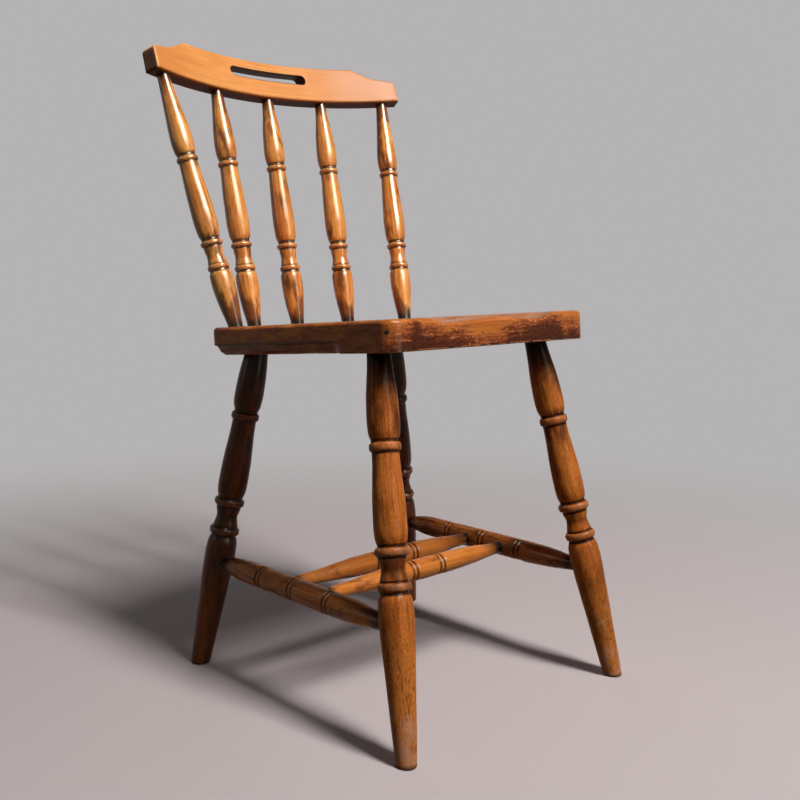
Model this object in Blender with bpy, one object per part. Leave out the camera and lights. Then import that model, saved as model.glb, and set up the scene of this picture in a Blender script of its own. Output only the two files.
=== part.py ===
"""Turned spindle-back kitchen chair in varnished hardwood.

Frame: metres, +Z up, the sitter faces -Y, with -X on the sitter's right.
The floor is Z = 0 and the origin is the middle of the chair's outline on the floor.
The legs, the stretchers, the spindles and the crest rail are all placed from the
seat plank, so they follow it when its sizes change.
"""

import bmesh
import bpy
from math import asin, cos, pi, radians, sin
from mathutils import Matrix, Vector

# Seat plank. Its own frame has Y running back down the slope and Z square to the top.
SEAT_HEIGHT = 0.450
SEAT_FRONT_Y = -0.1922
SEAT_SLOPE = radians(5.24)
SEAT_THICKNESS = 0.0342
SEAT_FRONT_HALF = 0.162
SEAT_REAR_HALF = 0.1575
SEAT_SIDE_DEPTH = 0.325
SEAT_REAR_BOW = 0.0545
SEAT_FRONT_RADIUS = 0.018
SEAT_REAR_RADIUS = 0.010
SEAT_TOP_ROUND = 0.004
SEAT_BOTTOM_ROUND = 0.001

# Saddle: two thigh hollows with a low ridge between them, open over the front edge.
SADDLE_DEPTH = 0.008
SADDLE_RIDGE_HEIGHT = 0.0036
SADDLE_LIP_RISE = 0.0016
SADDLE_FLAT_HALF = 0.075
SADDLE_HALF = 0.110
SADDLE_LIP_DEPTH = 0.100
SADDLE_FADE_DEPTH = 0.190
SADDLE_END_DEPTH = 0.290

# Moulding cut under the sides and the back of the plank; it runs out near the front.
UNDERCUT_HEIGHT = 0.0125
UNDERCUT_INSET = 0.0120
UNDERCUT_START_DEPTH = 0.078
UNDERCUT_RUNOUT = 0.023

# Leg sockets in the underside, in from the plank's side and end, and each foot's splay.
FRONT_LEG_SIDE_INSET = 0.0320
FRONT_LEG_END_INSET = 0.0540
REAR_LEG_SIDE_INSET = 0.0442
REAR_LEG_END_INSET = 0.0286
FRONT_LEG_OUT = 0.0479
FRONT_LEG_FORWARD = 0.1018
REAR_LEG_OUT = 0.0681
REAR_LEG_BACK = 0.0285
LEG_TENON = 0.022

# Turning of a leg, with places along its axis from the floor. A rear leg is the same
# turning with its foot cut shorter. Sets of three run upwards.
LEG_SIDES = 16
LEG_REAR_TRIM = 0.0083
LEG_FOOT_RADIUS = 0.0109
LEG_FOOT_BAND = 0.006
LEG_NECK_RADIUS = 0.0131
LEG_NECK_BAND = 0.007
LEG_BEADS = (0.1798, 0.2162, 0.3252)
LEG_BEAD_RADII = (0.0184, 0.0186, 0.0172)
LEG_BEAD_HALF = 0.0058
LEG_WAIST_RADII = (0.0161, 0.0153, 0.0148)
LEG_COVE_RADIUS = 0.0126
LEG_SWELLS = (0.1500, 0.2402, 0.3517)
LEG_SWELL_RADII = (0.0189, 0.0180, 0.0177)
LEG_FILLING = 1.2

# Stretchers. Heights are along the legs from the floor, and rings are from the middle.
STRETCHER_SIDES = 12
STRETCHER_TIP_GAP = 0.003
RING_HALF = 0.0035
GROOVE_DEPTH = 0.0016
FRONT_STRETCHER_UP = 0.1380
REAR_STRETCHER_UP = 0.1316
SIDE_RADIUS = 0.0137
SIDE_END_RADIUS = 0.0083
SIDE_RINGS = (-0.0661, -0.0046, 0.0584)
SIDE_THIN = (0.0205, 0.0205)
SIDE_FULL = (0.055, 0.079)
CROSS_SPACING = 0.0598
CROSS_RADIUS = 0.0128
CROSS_END_RADIUS = 0.0074
CROSS_REAR_RINGS = (-0.0182, 0.0436)
CROSS_FRONT_RINGS = (-0.0144, 0.0322)
CROSS_THIN = (0.045, 0.029)
CROSS_FULL = (0.120, 0.106)

# Back spindles: middle, inner and outer. Feet are in from the plank's rear edge, and tops
# are shares of the crest rail's half width across, at one distance behind its face.
SPINDLE_FOOT_X = (0.0, 0.0792, 0.1417)
SPINDLE_FOOT_INSET = (0.0221, 0.0213, 0.0395)
SPINDLE_TOP_SHARES = (0.0, 0.429, 0.893)
SPINDLE_TOP_BEHIND = 0.0125
SPINDLE_FOOT_TENON = 0.016
SPINDLE_TOP_TENON = 0.015

# Turning of a spindle, with places along its axis from the seat.
SPINDLE_SIDES = 12
SPINDLE_FOOT_RADIUS = 0.0088
SPINDLE_FOOT_BAND = 0.003
SPINDLE_NECK_RADIUS = 0.0074
SPINDLE_NECK_BAND = 0.005
SPINDLE_BEADS = (0.0754, 0.1054, 0.2116)
SPINDLE_BEAD_RADII = (0.0136, 0.0136, 0.0133)
SPINDLE_BEAD_HALF = 0.0036
SPINDLE_WAIST_RADII = (0.0126, 0.0114, 0.0112)
SPINDLE_COVE_RADIUS = 0.0100
SPINDLE_SWELLS = (0.0550, 0.1300, 0.2340)
SPINDLE_SWELL_RADII = (0.0141, 0.0143, 0.0137)
SPINDLE_FILLING = 1.6

# Crest rail: a curved board that leans back. Heights are measured up its front face.
CREST_RISE = 0.3015
CREST_SETBACK = 0.0550
CREST_RADIUS = 0.517
CREST_HALF = 0.1965
CREST_LEAN = radians(21.65)
CREST_BOTTOM_THICKNESS = 0.0215
CREST_TOP_THICKNESS = 0.0195
CREST_HEIGHT = 0.0502
CREST_END_HEIGHT = 0.0295
CREST_END_FALL = 0.20
CREST_CORNER_RADIUS = 0.005
CREST_END_WIDTH = 0.0245
CREST_SHOULDER_WIDTH = 0.035
CREST_NOTCH_X = CREST_HALF - CREST_END_WIDTH
CREST_SHOULDER_X = CREST_NOTCH_X - CREST_SHOULDER_WIDTH
CREST_END_LIFT = 0.0122
CREST_EDGE_ROUND = 0.002
SLOT_HALF = 0.0614
SLOT_HEIGHT = 0.0122
SLOT_UP = 0.0303
SLOT_TILT = radians(10.0)

# Clearance round each tenon and past its end, and how far a cutter runs out of a piece.
FIT = 0.0003
CUTTER_RUN = 0.030

SIDES = {"right": -1, "left": 1}


def clear_scene():
    """Empty the scene of everything that it starts with."""
    for existing in list(bpy.data.objects):
        bpy.data.objects.remove(existing, do_unlink=True)


def wood(name, colour, roughness):
    """A plain varnished wood of one colour."""
    material = bpy.data.materials.new(name)
    material.use_nodes = True
    shader = material.node_tree.nodes["Principled BSDF"]
    shader.inputs["Base Color"].default_value = (*colour, 1.0)
    shader.inputs["Roughness"].default_value = roughness
    shader.inputs["Metallic"].default_value = 0.0
    return material


def place(name, builder, matrix, material=None):
    """Turn a bmesh into a placed object with outward faces and soft round shading."""
    bmesh.ops.recalc_face_normals(builder, faces=builder.faces[:])
    mesh = bpy.data.meshes.new(name)
    builder.to_mesh(mesh)
    builder.free()
    mesh.shade_smooth()
    mesh.set_sharp_from_angle(angle=radians(35))
    if material is not None:
        mesh.materials.append(material)
    placed = bpy.data.objects.new(name, mesh)
    placed.matrix_world = matrix
    bpy.context.collection.objects.link(placed)
    return placed


def loft(builder, rings):
    """Skin a row of equal rings of points, and close both ends flat."""
    rings = [[builder.verts.new(point) for point in points] for points in rings]
    count = len(rings[0])
    for ring, following in zip(rings, rings[1:]):
        for i in range(count):
            j = (i + 1) % count
            builder.faces.new((ring[i], ring[j], following[j], following[i]))
    builder.faces.new(rings[0])
    builder.faces.new(rings[-1])


def cut(target, cutter):
    """Take a cutter's shape out of a piece."""
    cutter.hide_render = True
    cutter.display_type = "WIRE"
    modifier = target.modifiers.new("cut", "BOOLEAN")
    modifier.operation = "DIFFERENCE"
    modifier.solver = "EXACT"
    modifier.object = cutter


def aim(start, way):
    """Matrix that stands a piece at `start` with its own Z along `way`."""
    return Matrix.Translation(start) @ way.to_track_quat("Z", "Y").to_matrix().to_4x4()


def bore(target, mouth, inward, radius, depth, sides):
    """Cut a round socket into `target`, from its mouth inward, with the usual clearance."""
    builder = bmesh.new()
    span = CUTTER_RUN + depth + FIT
    bmesh.ops.create_cone(builder, cap_ends=True, segments=sides, radius1=radius + FIT,
                          radius2=radius + FIT, depth=span)
    bmesh.ops.translate(builder, verts=builder.verts, vec=(0.0, 0.0, 0.5 * span))
    start = mouth - inward * CUTTER_RUN
    cut(target, place(target.name + ".socket", builder, aim(start, inward)))


# Ways for a radius to change between two places, as a share of the distance.

def ease(share):
    """Smooth at both ends, and level outside them."""
    share = max(0.0, min(1.0, share))
    return share * share * (3.0 - 2.0 * share)


def falling(share):
    """Level at first, then steep."""
    return share * share


def filling(power):
    """Steep at first, then level."""
    return lambda share: 1.0 - (1.0 - share) ** power


# Turned outlines are lists of (distance along the axis, radius) pairs.

def run_on(path, end, steps, shape):
    """Carry an outline on to `end`."""
    start = path[-1]
    for i in range(1, steps + 1):
        path.append((start[0] + (end[0] - start[0]) * i / steps,
                     start[1] + (end[1] - start[1]) * shape(i / steps)))


def bead(path, radius, half, waist):
    """Carry an outline over a rounded ring, which starts where the outline is."""
    start, low = path[-1]
    path.append((start + 0.25 * half, low + 0.66 * (radius - low)))
    path.append((start + half, radius))
    path.append((start + 1.75 * half, waist + 0.66 * (radius - waist)))
    path.append((start + 2.0 * half, waist))


def cove(path, end, radius, steps=4):
    """Carry an outline through a hollow to `end`."""
    start = path[-1]
    for i in range(1, steps + 1):
        share = i / steps
        rim = start[1] + (end[1] - start[1]) * share
        path.append((start[0] + (end[0] - start[0]) * share, rim - (rim - radius) * sin(pi * share)))


def baluster(path, beads, bead_radii, half, waists, cove_radius, swells, swell_radii, end, rise):
    """Carry an outline through swell, bead, cove, bead, swell, bead, swell, to `end`."""
    run_on(path, (swells[0], swell_radii[0]), 4, rise)
    run_on(path, (beads[0] - half, waists[0]), 2, falling)
    bead(path, bead_radii[0], half, waists[0])
    cove(path, (beads[1] - half, waists[0]), cove_radius)
    bead(path, bead_radii[1], half, waists[1])
    run_on(path, (swells[1], swell_radii[1]), 2, filling(2.0))
    run_on(path, (beads[2] - half, waists[2]), 3, ease)
    bead(path, bead_radii[2], half, waists[2])
    run_on(path, (swells[2], swell_radii[2]), 2, filling(2.0))
    run_on(path, end, 4, ease)


def leg_outline(length, trim):
    """Leg from the floor to the end of its tenon; `trim` is cut off its foot."""
    path = [(0.0, LEG_FOOT_RADIUS), (LEG_FOOT_BAND, LEG_FOOT_RADIUS)]
    beads = [place_up - trim for place_up in LEG_BEADS]
    swells = [place_up - trim for place_up in LEG_SWELLS]
    neck = (length - LEG_TENON - LEG_NECK_BAND, LEG_NECK_RADIUS)
    baluster(path, beads, LEG_BEAD_RADII, LEG_BEAD_HALF, LEG_WAIST_RADII, LEG_COVE_RADIUS,
             swells, LEG_SWELL_RADII, neck, filling(LEG_FILLING))
    path.append((length, LEG_NECK_RADIUS))
    return path


def spindle_outline(length):
    """Back spindle from the end of its foot tenon to the end of its top tenon."""
    base = SPINDLE_FOOT_TENON
    path = [(0.0, SPINDLE_FOOT_RADIUS), (base + SPINDLE_FOOT_BAND, SPINDLE_FOOT_RADIUS)]
    beads = [base + place_up for place_up in SPINDLE_BEADS]
    swells = [base + place_up for place_up in SPINDLE_SWELLS]
    neck = (length - SPINDLE_TOP_TENON - SPINDLE_NECK_BAND, SPINDLE_NECK_RADIUS)
    baluster(path, beads, SPINDLE_BEAD_RADII, SPINDLE_BEAD_HALF, SPINDLE_WAIST_RADII,
             SPINDLE_COVE_RADIUS, swells, SPINDLE_SWELL_RADII, neck, filling(SPINDLE_FILLING))
    path.append((length, SPINDLE_NECK_RADIUS))
    return path


def stretcher_outline(length, radius, end_radius, rings, thin, full):
    """Stretcher that swells between thin ends, with flush rings between fine grooves.

    `thin` and `full` say how far from each end's axis the swelling starts and is full.
    """
    tip = STRETCHER_TIP_GAP
    path = [(0.0, end_radius), (thin[0] - tip, end_radius)]
    run_on(path, (full[0] - tip, radius), 4, ease)
    for ring in rings:
        centre = 0.5 * length + ring
        path.append((centre - RING_HALF, radius))
        path.append((centre - 0.6 * RING_HALF, radius - GROOVE_DEPTH))
        path.append((centre, radius))
        path.append((centre + 0.6 * RING_HALF, radius - GROOVE_DEPTH))
        path.append((centre + RING_HALF, radius))
    path.append((length + tip - full[1], radius))
    run_on(path, (length + tip - thin[1], end_radius), 4, ease)
    path.append((length, end_radius))
    return path


def turned(name, start, way, outline, sides, material):
    """Spin an outline round the line that leaves `start` along `way`."""
    builder = bmesh.new()
    length = outline[-1][0]
    corners = [(0.0, 0.0), *((radius, along) for along, radius in outline), (0.0, length)]
    verts = [builder.verts.new((x, 0.0, z)) for x, z in corners]
    edges = [builder.edges.new(pair) for pair in zip(verts, verts[1:])]
    bmesh.ops.spin(builder, geom=verts + edges, cent=(0, 0, 0), axis=(0, 0, 1),
                   angle=2 * pi, steps=sides, use_merge=True)
    bmesh.ops.remove_doubles(builder, verts=builder.verts[:], dist=1e-6)
    return place(name, builder, aim(start, way), material)


def stand(piece):
    """Slide a turned piece's first ring along its axis until it lies on the floor."""
    matrix = piece.matrix_world
    for vert in piece.data.vertices:
        if vert.co.z < 0.5 * LEG_FOOT_BAND:
            vert.co.z -= (matrix @ vert.co).z / matrix[2][2]


# Seat plank.

def seat_matrix():
    """Place of the plank's own frame: front edge at the seat's height, top sloping back."""
    front = Vector((0.0, SEAT_FRONT_Y, SEAT_HEIGHT))
    return Matrix.Translation(front) @ Matrix.Rotation(-SEAT_SLOPE, 4, "X")


def seat_half(depth):
    """Half width of the plank at a depth behind its front edge."""
    return SEAT_FRONT_HALF + (SEAT_REAR_HALF - SEAT_FRONT_HALF) * depth / SEAT_SIDE_DEPTH


def rear_radius():
    """Radius of the rear edge's arc, from its chord and its bow."""
    return (SEAT_REAR_HALF ** 2 + SEAT_REAR_BOW ** 2) / (2.0 * SEAT_REAR_BOW)


def rear_depth(across):
    """Depth of the bowed rear edge at a distance across the plank."""
    radius = rear_radius()
    return SEAT_SIDE_DEPTH + SEAT_REAR_BOW - radius + (radius ** 2 - across ** 2) ** 0.5


def arc(centre, radius, start, turn, steps=4):
    """Points along a rounded corner of the plank."""
    angles = [start + turn * i / steps for i in range(steps + 1)]
    return [(centre[0] + radius * cos(angle), centre[1] + radius * sin(angle)) for angle in angles]


def seat_outline():
    """Plank outline, anticlockwise from above, from the middle of the front edge."""
    front = SEAT_FRONT_RADIUS
    half = [(across, 0.0) for across in (0.0, 0.5 * SADDLE_FLAT_HALF, SADDLE_FLAT_HALF,
                                         0.5 * (SADDLE_FLAT_HALF + SADDLE_HALF), SADDLE_HALF)]
    half += arc((SEAT_FRONT_HALF - front, front), front, -0.5 * pi, 0.5 * pi)
    run_out = [UNDERCUT_START_DEPTH + UNDERCUT_RUNOUT * i / 3 for i in range(4)]
    plain = [run_out[-1] + (SEAT_SIDE_DEPTH - run_out[-1]) * i / 4 for i in range(1, 4)]
    half += [(seat_half(depth), depth) for depth in (0.5 * UNDERCUT_START_DEPTH, *run_out, *plain)]
    half += arc(*rear_corner())
    last = half[-1][0]
    half += [(last * i / 5, rear_depth(last * i / 5)) for i in (4, 3, 2, 1)]
    mirrored = [(-x, y) for x, y in reversed(half[1:])]
    return [*half, (0.0, rear_depth(0.0)), *mirrored]


def rear_corner():
    """Centre, radius, start and turn of the small arc between a side and the rear edge.

    Its circle touches the side's line and, from inside, the rear edge's big circle.
    """
    small, big = SEAT_REAR_RADIUS, rear_radius()
    across = SEAT_REAR_HALF - small
    centre_depth = SEAT_SIDE_DEPTH + SEAT_REAR_BOW - big + ((big - small) ** 2 - across ** 2) ** 0.5
    return (across, centre_depth), small, 0.0, 0.5 * pi - asin(across / (big - small))


def saddle(across, depth):
    """How far the plank's top lies below its rim."""
    wide = 1.0 - ease((abs(across) - SADDLE_FLAT_HALF) / (SADDLE_HALF - SADDLE_FLAT_HALF))
    long = 1.0 - ease((depth - SADDLE_FADE_DEPTH) / (SADDLE_END_DEPTH - SADDLE_FADE_DEPTH))
    ridge = SADDLE_RIDGE_HEIGHT * (1.0 - ease(abs(across) / SADDLE_FLAT_HALF))
    lip = SADDLE_LIP_RISE * (1.0 - ease(depth / SADDLE_LIP_DEPTH))
    return (SADDLE_DEPTH - ridge - lip) * wide * long


def inset(outline, distance):
    """Move each outline point inwards by its own distance."""
    moved = []
    for i, (x, y) in enumerate(outline):
        before, after = outline[i - 1], outline[(i + 1) % len(outline)]
        along = Vector((after[0] - before[0], after[1] - before[1])).normalized()
        step = distance(y)
        moved.append((x - along.y * step, y + along.x * step))
    return moved


def undercut(depth):
    """How far the plank's bottom edge is cut in at a depth behind its front edge."""
    return UNDERCUT_INSET * ease((depth - UNDERCUT_START_DEPTH) / UNDERCUT_RUNOUT)


def seat(material):
    """The plank: moulded edge below, rounded edge above, saddle across the top."""
    outline = seat_outline()
    bottom = -SEAT_THICKNESS
    rings = []
    for up, inward in ((0.0, 1.0), (0.12, 0.78), (0.33, 0.63), (0.65, 0.40), (1.0, 0.0)):
        edge = SEAT_BOTTOM_ROUND * (up == 0.0)
        moulded = inset(outline, lambda depth: edge + inward * undercut(depth))
        rings.append([(x, y, bottom + up * UNDERCUT_HEIGHT) for x, y in moulded])
    for down, inward in ((1.0, 0.0), (0.3, 0.3), (0.0, 1.0)):
        rounded = inset(outline, lambda depth: inward * SEAT_TOP_ROUND)
        rings.append([(x, y, -saddle(x, y) - down * SEAT_TOP_ROUND) for x, y in rounded])
    rim = inset(outline, lambda depth: SEAT_TOP_ROUND)
    middle = 0.5 * SEAT_SIDE_DEPTH
    for share in (0.88, 0.75, 0.61, 0.46, 0.30, 0.14):
        shrunk = [(x * share, middle + (y - middle) * share) for x, y in rim]
        rings.append([(x, y, -saddle(x, y)) for x, y in shrunk])
    builder = bmesh.new()
    loft(builder, rings)
    return place("seat", builder, seat_matrix(), material)


# Legs and stretchers.

def leg_axis(end_name, side):
    """A leg's foot on the floor and its direction, and its socket's mouth in the seat."""
    if end_name == "front":
        depth, side_inset = FRONT_LEG_END_INSET, FRONT_LEG_SIDE_INSET
        splay = Vector((side * FRONT_LEG_OUT, -FRONT_LEG_FORWARD, 0.0))
    else:
        depth, side_inset = SEAT_SIDE_DEPTH - REAR_LEG_END_INSET, REAR_LEG_SIDE_INSET
        splay = Vector((side * REAR_LEG_OUT, REAR_LEG_BACK, 0.0))
    across = side * (seat_half(depth) - side_inset)
    mouth = seat_matrix() @ Vector((across, depth, -SEAT_THICKNESS))
    foot = Vector((mouth.x, mouth.y, 0.0)) + splay
    return foot, (mouth - foot).normalized(), mouth


def leg(end_name, side_name, plank, material):
    """One splayed leg and its socket in the plank."""
    foot, way, mouth = leg_axis(end_name, SIDES[side_name])
    trim = LEG_REAR_TRIM if end_name == "rear" else 0.0
    outline = leg_outline((mouth - foot).length + LEG_TENON, trim)
    piece = turned("leg_%s_%s" % (end_name, side_name), foot, way, outline, LEG_SIDES, material)
    stand(piece)
    bore(plank, mouth, way, LEG_NECK_RADIUS, LEG_TENON, LEG_SIDES)
    return piece


def stretcher(name, start, end, sizes, carriers, material):
    """A stretcher between two axes, with a socket in each of the two pieces that carry it."""
    way = (end - start).normalized()
    length = (end - start).length - 2.0 * STRETCHER_TIP_GAP
    start, end = start + way * STRETCHER_TIP_GAP, end - way * STRETCHER_TIP_GAP
    outline = stretcher_outline(length, *sizes)
    piece = turned(name, start, way, outline, STRETCHER_SIDES, material)
    end_radius = sizes[1]
    bore(carriers[0], start, -way, end_radius, 0.0, STRETCHER_SIDES)
    bore(carriers[1], end, way, end_radius, 0.0, STRETCHER_SIDES)
    return piece


def underframe(plank, leg_material, side_material, cross_material):
    """Four legs, a stretcher on each side and two stretchers across."""
    side_sizes = (SIDE_RADIUS, SIDE_END_RADIUS, SIDE_RINGS, SIDE_THIN, SIDE_FULL)
    rails = []
    for side_name, side in SIDES.items():
        legs = [leg(end_name, side_name, plank, leg_material) for end_name in ("rear", "front")]
        rear_foot, rear_way, _ = leg_axis("rear", side)
        front_foot, front_way, _ = leg_axis("front", side)
        rear = rear_foot + rear_way * REAR_STRETCHER_UP
        front = front_foot + front_way * FRONT_STRETCHER_UP
        rail = stretcher("stretcher_" + side_name, rear, front, side_sizes, legs, side_material)
        rails.append((rail, 0.5 * (rear + front), (front - rear).normalized()))
    carriers = [rail for rail, _, _ in rails]
    for name, shift, rings in (("rear", -0.5, CROSS_REAR_RINGS), ("front", 0.5, CROSS_FRONT_RINGS)):
        ends = [middle + forward * shift * CROSS_SPACING for _, middle, forward in rails]
        sizes = (CROSS_RADIUS, CROSS_END_RADIUS, rings, CROSS_THIN, CROSS_FULL)
        stretcher("stretcher_cross_" + name, *ends, sizes, carriers, cross_material)


# Back.

def crest_point(across, up, behind):
    """Point of the crest rail: across it, up its front face and behind that face."""
    foot = spindle_foot(0, 1)
    swing = asin(across / CREST_RADIUS)
    lift = CREST_END_LIFT * (across / CREST_HALF) ** 2
    face = Vector((across, foot.y + CREST_SETBACK - CREST_RADIUS * (1.0 - cos(swing)),
                   foot.z + CREST_RISE + lift))
    backward = Vector((sin(swing) * cos(CREST_LEAN), cos(swing) * cos(CREST_LEAN), -sin(CREST_LEAN)))
    return face + crest_up() * up + backward * behind


def crest_up():
    """Direction up the crest rail's face."""
    return Vector((0.0, sin(CREST_LEAN), cos(CREST_LEAN)))


def crest_height(across):
    """Height up the face: full in the middle, then a hollow shoulder down to a low end.

    The end's top falls outwards and turns down round its corner.
    """
    across = abs(across)
    share = (across - CREST_SHOULDER_X) / CREST_SHOULDER_WIDTH
    hollow = (1.0 - max(0.0, min(1.0, share))) ** 2
    low = CREST_END_HEIGHT + CREST_END_FALL * (CREST_HALF - max(across, CREST_SHOULDER_X))
    past = max(0.0, across - CREST_HALF + CREST_CORNER_RADIUS)
    turned_down = CREST_CORNER_RADIUS - (CREST_CORNER_RADIUS ** 2 - past ** 2) ** 0.5
    return low + (CREST_HEIGHT - low) * hollow - turned_down


def crest_ring(across, shrink=0.0):
    """Section of the crest rail with its four long edges eased, drawn in by `shrink`."""
    height, eased = crest_height(across), CREST_EDGE_ROUND
    low, high = shrink, height - shrink
    front, back = shrink, CREST_BOTTOM_THICKNESS - shrink
    top_back = CREST_TOP_THICKNESS - shrink
    section = ((low + eased, front), (high - eased, front), (high, front + eased),
               (high, top_back - eased), (high - eased, top_back),
               (low + eased, back), (low, back - eased), (low, front + eased))
    return [crest_point(across, up, behind) for up, behind in section]


def crest_rail(material):
    """The crest rail with its hand slot."""
    half = [CREST_SHOULDER_X * i / 8 for i in range(1, 8)]
    half += [CREST_SHOULDER_X + CREST_SHOULDER_WIDTH * i / 5 for i in range(6)]
    half += [CREST_HALF - CREST_CORNER_RADIUS * share for share in (2.5, 1.0, 0.4)]
    stations = [-across for across in reversed(half)] + [0.0] + half
    rings = [crest_ring(across) for across in stations]
    eased = 0.5 * CREST_EDGE_ROUND
    builder = bmesh.new()
    loft(builder, [crest_ring(-CREST_HALF, eased), *rings, crest_ring(CREST_HALF, eased)])
    rail = place("crest_rail", builder, Matrix(), material)
    cut(rail, slot_cutter())
    return rail


def slot_cutter():
    """A long slot with round ends, driven straight through the middle of the crest rail."""
    radius = 0.5 * SLOT_HEIGHT
    reach = SLOT_HALF - radius
    outline = [(x + reach, up) for x, up in arc((0.0, 0.0), radius, -0.5 * pi, pi, 6)]
    outline += [(x - reach, up) for x, up in arc((0.0, 0.0), radius, 0.5 * pi, pi, 6)]
    through = Vector((0.0, cos(SLOT_TILT), -sin(SLOT_TILT)))
    centre = crest_point(0.0, SLOT_UP, 0.0)
    run = CUTTER_RUN + CREST_BOTTOM_THICKNESS
    rings = [[centre + through * shift + crest_up() * up + Vector((x, 0.0, 0.0)) for x, up in outline]
             for shift in (-run, run)]
    builder = bmesh.new()
    loft(builder, rings)
    return place("crest_rail.slot", builder, Matrix())


def spindle_foot(rank, side):
    """Where a spindle's axis meets the seat's top; rank 0 is the middle one."""
    across = SPINDLE_FOOT_X[rank]
    return seat_matrix() @ Vector((side * across, rear_depth(across) - SPINDLE_FOOT_INSET[rank], 0.0))


def spindles(plank, rail, material):
    """Five turned spindles, numbered from the sitter's right, between seat and crest rail."""
    for number, (rank, side) in enumerate(((2, -1), (1, -1), (0, 1), (1, 1), (2, 1)), start=1):
        foot = spindle_foot(rank, side)
        across = side * SPINDLE_TOP_SHARES[rank] * CREST_HALF
        top = crest_point(across, 0.0, SPINDLE_TOP_BEHIND)
        way = (top - foot).normalized()
        length = SPINDLE_FOOT_TENON + (top - foot).length + SPINDLE_TOP_TENON
        turned("spindle_%d" % number, foot - way * SPINDLE_FOOT_TENON, way,
               spindle_outline(length), SPINDLE_SIDES, material)
        bore(plank, foot, -way, SPINDLE_FOOT_RADIUS, SPINDLE_FOOT_TENON, SPINDLE_SIDES)
        bore(rail, top, way, SPINDLE_NECK_RADIUS, SPINDLE_TOP_TENON, SPINDLE_SIDES)


def main():
    clear_scene()
    plank = seat(wood("worn seat varnish", (0.33, 0.13, 0.045), 0.45))
    underframe(plank,
               wood("dark leg varnish", (0.16, 0.06, 0.022), 0.35),
               wood("red brown varnish", (0.22, 0.075, 0.028), 0.35),
               wood("orange varnish", (0.52, 0.20, 0.055), 0.32))
    rail = crest_rail(wood("honey varnish", (0.62, 0.27, 0.08), 0.32))
    spindles(plank, rail, wood("amber varnish", (0.42, 0.16, 0.045), 0.28))


main()
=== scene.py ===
"""Looks of a turned spindle-back chair in old varnished hardwood.

Each wooden piece is a smooth surface worked out with numpy around the axis, or in the
box, of its plain solid. Its finish is varnish over grain, darkened with grime where hands
and dusters never reach and with painted shade in hollows, recesses and under the seat,
paler with painted floor light near the feet, and worn through along the seat's front edge.
"""

from math import asin, cos, pi, radians, sin

import bpy
import numpy as np
from mathutils import Matrix, Vector


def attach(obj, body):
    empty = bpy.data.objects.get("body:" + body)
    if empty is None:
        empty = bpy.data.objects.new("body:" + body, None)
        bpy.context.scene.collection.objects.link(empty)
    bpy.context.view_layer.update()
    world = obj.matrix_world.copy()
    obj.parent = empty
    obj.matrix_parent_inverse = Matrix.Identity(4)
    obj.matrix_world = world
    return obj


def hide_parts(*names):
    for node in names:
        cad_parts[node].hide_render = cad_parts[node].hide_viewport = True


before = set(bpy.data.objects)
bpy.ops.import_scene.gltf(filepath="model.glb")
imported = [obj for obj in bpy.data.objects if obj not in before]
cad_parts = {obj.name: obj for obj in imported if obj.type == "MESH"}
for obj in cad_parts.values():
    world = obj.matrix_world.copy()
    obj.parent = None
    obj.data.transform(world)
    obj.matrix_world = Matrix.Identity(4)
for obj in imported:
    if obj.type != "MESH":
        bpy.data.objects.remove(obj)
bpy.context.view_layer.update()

# Camera, as fitted to the photograph.
CAMERA_PLACE = (-0.8871, -0.9750, 0.5216)
CAMERA_YAW = radians(-43.62)
CAMERA_PITCH = radians(-8.01)
CAMERA_ROLL = radians(0.84)
CAMERA_LENS = 47.96
CAMERA_SENSOR = 36.0
CAMERA_CLIP = 0.05
CAMERA_SHIFT = (-0.0036, -0.0035)

# Studio: a pale floor that turns paler over FLOOR_BLEND and clear over FLOOR_FADE, in
# metres from the chair, and a surround that darkens above OVERHEAD_START.
FLOOR_HALF = 1.8
FLOOR_BLEND = (0.4, 1.5)
FLOOR_FADE = (0.45, 1.6)
FLOOR_ROUGHNESS = 0.9
FLOOR_COLOUR = (0.59, 0.535, 0.555, 1.0)
FLOOR_FAR_COLOUR = (0.62, 0.60, 0.61, 1.0)
FLOOR_BOUNCE = (0.09, 0.08, 0.08, 1.0)
SOFT_LIGHT = 0.048
SEEN_LIGHT = 0.46
OVERHEAD_LIGHT = 0.15
OVERHEAD_START = (0.40, 0.70)
SURROUND_COLOUR = (1.0, 0.975, 0.98, 1.0)

# Lamps. A gleam lights nothing and only shows in the gloss of the varnish.
WINDOW_PLACE = (0.18, -1.60, 2.74)
WINDOW_COLOUR = (1.0, 0.95, 0.90)
GLEAM_PLACE = (0.15, -1.75, 2.45)
LOW_GLEAM_PLACE = (0.45, -2.5, 1.05)
REAR_GLEAM_PLACE = (-2.0, 1.1, 1.4)
GLEAM_COLOUR = (0.80, 0.88, 0.94)
REAR_GLEAM_COLOUR = (0.95, 0.97, 1.0)
BACK_LIGHT_PLACE = (1.5, 2.4, 0.6)
BACK_LIGHT_COLOUR = (1.0, 0.97, 0.94)

# Seat plank, in its own frame: Y back down the slope, Z square to its top. The close
# points along its sides, and the black painted shade line over the moulding, end at UNDERCUT_END.
SEAT_FRONT = (0.0, -0.1922, 0.450)
SEAT_SLOPE = radians(5.24)
SEAT_THICKNESS = 0.0342
SEAT_FRONT_HALF = 0.162
SEAT_REAR_HALF = 0.1575
SEAT_DEPTH = 0.325
SEAT_BOW = 0.0545
SEAT_FRONT_RADIUS = 0.018
SEAT_REAR_RADIUS = 0.016
SEAT_TOP_ROUND = 0.0045
SEAT_BOTTOM_ROUND = 0.0012
SADDLE_DEPTH = 0.008
SADDLE_RIDGE = 0.0036
SADDLE_LIP = 0.0016
SADDLE_FLAT_HALF = 0.075
SADDLE_HALF = 0.110
SADDLE_FADE_START = 0.190
SADDLE_FADE = 0.100
SADDLE_LIP_FADE = 0.100
UNDERCUT_HEIGHT = 0.0125
UNDERCUT_INSET = 0.0120
UNDERCUT_START = 0.078
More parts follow.
